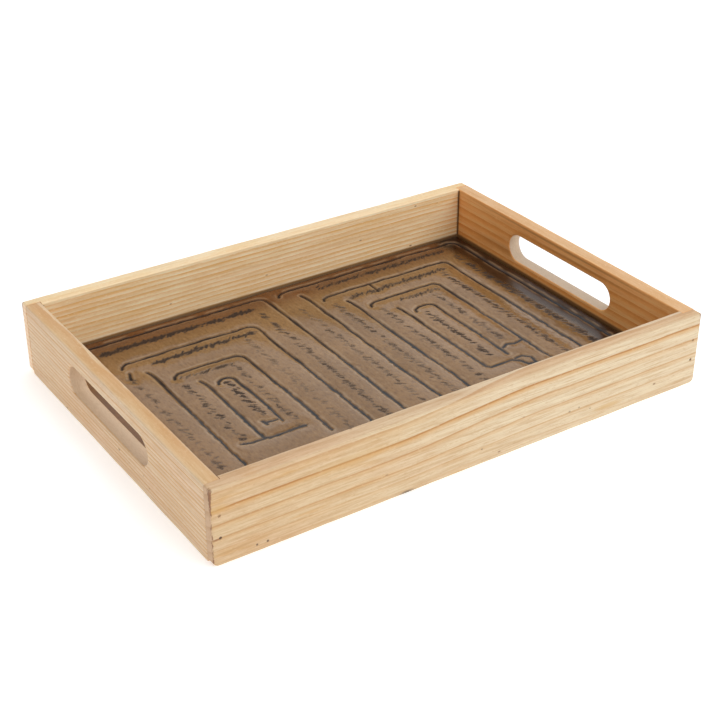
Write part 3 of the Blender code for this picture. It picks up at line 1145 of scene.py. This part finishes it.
def plywood_material():
    """Unfinished plywood: a rotary-cut face with broad figure, fibre and a few patches."""
    s = Shader("plywood")
    point = s.position()
    figure = s.noise(s.stretched(point, (170.0, 34.0, 50.0), 9.0), 3.0, 0.5, 0.8)
    rings = s.math("FRACT", s.times(figure, 9.0))
    band = s.times(s.fade(rings, 0.3, 0.9), s.fade(rings, 0.92, 1.0, 1.0, 0.0))
    fibre = s.noise(s.stretched(point, (22.0, 0.7, 2.0), 3.0), 3.0, 0.65)
    blotch = s.noise(s.stretched(point, (90.0, 60.0, 40.0), 4.0), 2.0)
    color = s.mix(s.fade(blotch, 0.3, 0.7), BIRCH, BIRCH_WARM)
    color = s.mix(s.times(band, 0.4), color, BIRCH_BAND)
    color = s.mix(s.fade(fibre, 0.4, 0.75, 0.0, 0.4), color, BIRCH_FIBRE)
    roughness = s.fade(fibre, 0.2, 0.8, 0.62, 0.8)
    normal = s.bump(fibre, 0.00012, 0.8)
    return s.finish(color, roughness, normal)


def steel_material():
    """Dull drawn wire with a trace of rust; the upper brads were dabbed with wood filler."""
    s = Shader("brad_steel")
    point = s.position()
    spots = s.noise(s.stretched(point, (0.5, 0.5, 0.5), 2.0), 3.0, 0.7)
    drawn = s.noise(s.stretched(point, (0.15, 4.0, 0.15), 7.0), 2.0)
    color = s.mix(s.fade(spots, 0.35, 0.6), STEEL, RUST)
    filled = s.fade(point[2], RIM / 2 - 1.0, RIM / 2 + 1.0, 0.0, 0.9)
    color = s.mix(filled, color, s.mix(spots, FILLER_DARK, FILLER_PALE))
    roughness = s.fade(drawn, 0.2, 0.8, 0.35, 0.6)
    normal = s.bump(drawn, 0.00002, 0.5)
    return s.finish(color, roughness, normal, Metallic=0.5)


def dress(piece, material):
    piece.data.materials.clear()
    piece.data.materials.append(material)


# ---------------------------------------------------------------- stage

VIEW_AZIMUTH = math.radians(-33.51)
VIEW_ELEVATION = math.radians(29.98)
VIEW_DISTANCE = 2.759 * LENGTH
VIEW_TARGET = Vector((0.033 * LENGTH, 0.047 * LENGTH, 0.0))
LENS = 73.1
SENSOR = 36.0

# The floor is wide enough that no view shows its edge
FLOOR_RADIUS = 30.0
FLOOR_GLOW = 0.43
WORLD_LIGHT = 0.29

# Softboxes, all aimed at the tray: name, place, width and height, power in watts
SOFTBOXES = (
    ("key_softbox", (0.7, -1.9, 1.35), (2.4, 1.5), 30.0),
    ("top_softbox", (0.1, 0.1, 2.2), (1.6, 1.2), 11.5),
    ("back_panel", (1.35, 1.85, 1.6), (3.4, 2.4), 21.5),
    ("side_softbox", (-2.0, 0.1, 1.2), (1.4, 1.0), 5.0),
)


def make_floor():
    mesh = bpy.data.meshes.new("studio_floor")
    shape = bmesh.new()
    bmesh.ops.create_circle(shape, cap_ends=True, segments=96, radius=FLOOR_RADIUS)
    shape.to_mesh(mesh)
    shape.free()
    floor = add_object("studio_floor", mesh)
    floor.location.z = LOW.z
    s = Shader("studio_floor")
    mottle = s.noise(s.stretched(s.position(), (400.0, 400.0, 400.0)), 1.0)
    color = s.mix(mottle, (0.93, 0.93, 0.93), (0.95, 0.95, 0.95))
    normal = s.bump(mottle, 0.0001, 0.1)
    glow = {"Emission_Color": (1.0, 1.0, 1.0, 1.0), "Emission_Strength": FLOOR_GLOW}
    dress(floor, s.finish(color, 0.9, normal, **glow))


def add_softbox(name, position, size, energy):
    light = bpy.data.lights.new(name, "AREA")
    light.shape = "RECTANGLE"
    light.size = size[0]
    light.size_y = size[1]
    light.energy = energy
    softbox = bpy.data.objects.new(name, light)
    bpy.context.scene.collection.objects.link(softbox)
    softbox.location = position
    softbox.rotation_mode = "QUATERNION"
    softbox.rotation_quaternion = (-Vector(position)).to_track_quat("-Z", "Y")


def make_light():
    world = bpy.data.worlds.new("studio")
    world.use_nodes = True
    background = world.node_tree.nodes["Background"]
    background.inputs["Color"].default_value = (1.0, 1.0, 1.0, 1.0)
    background.inputs["Strength"].default_value = WORLD_LIGHT
    bpy.context.scene.world = world
    for name, place_at, size, power in SOFTBOXES:
        add_softbox(name, place_at, size, power)
    bpy.context.scene.view_settings.view_transform = "Standard"


def make_camera():
    camera = bpy.data.objects.new("camera", bpy.data.cameras.new("camera"))
    bpy.context.scene.collection.objects.link(camera)
    camera.data.sensor_width = SENSOR
    camera.data.lens = LENS
    camera.data.clip_start = 0.01
    away = Vector(
        (
            math.sin(VIEW_AZIMUTH) * math.cos(VIEW_ELEVATION),
            -math.cos(VIEW_AZIMUTH) * math.cos(VIEW_ELEVATION),
            math.sin(VIEW_ELEVATION),
        )
    )
    camera.location = VIEW_TARGET + away * VIEW_DISTANCE
    camera.rotation_mode = "QUATERNION"
    camera.rotation_quaternion = (-away).to_track_quat("-Z", "Y")
    bpy.context.scene.camera = camera


# ---------------------------------------------------------------- the tray

def build():
    openings = {opening["name"]: opening for opening in frame["record"]["physics"]["openings"]}
    for node in LONG_BOARDS:
        dress(make_long_board(node), pine_material(node, GRAINS[node]))
    for node in HANDLE_BOARDS:
        side = node.split("_")[0]
        board = make_handle_board(node, openings[side + "_hand_slot"])
        dress(board, pine_material(node, GRAINS[node]))
    steel = steel_material()
    for node in BRADS:
        dress(make_brad(node), steel)
    dress(make_panel(), glass_material())
    dress(frame["nodes"]["base_board"], plywood_material())
    make_floor()
    make_light()
    make_camera()


build()
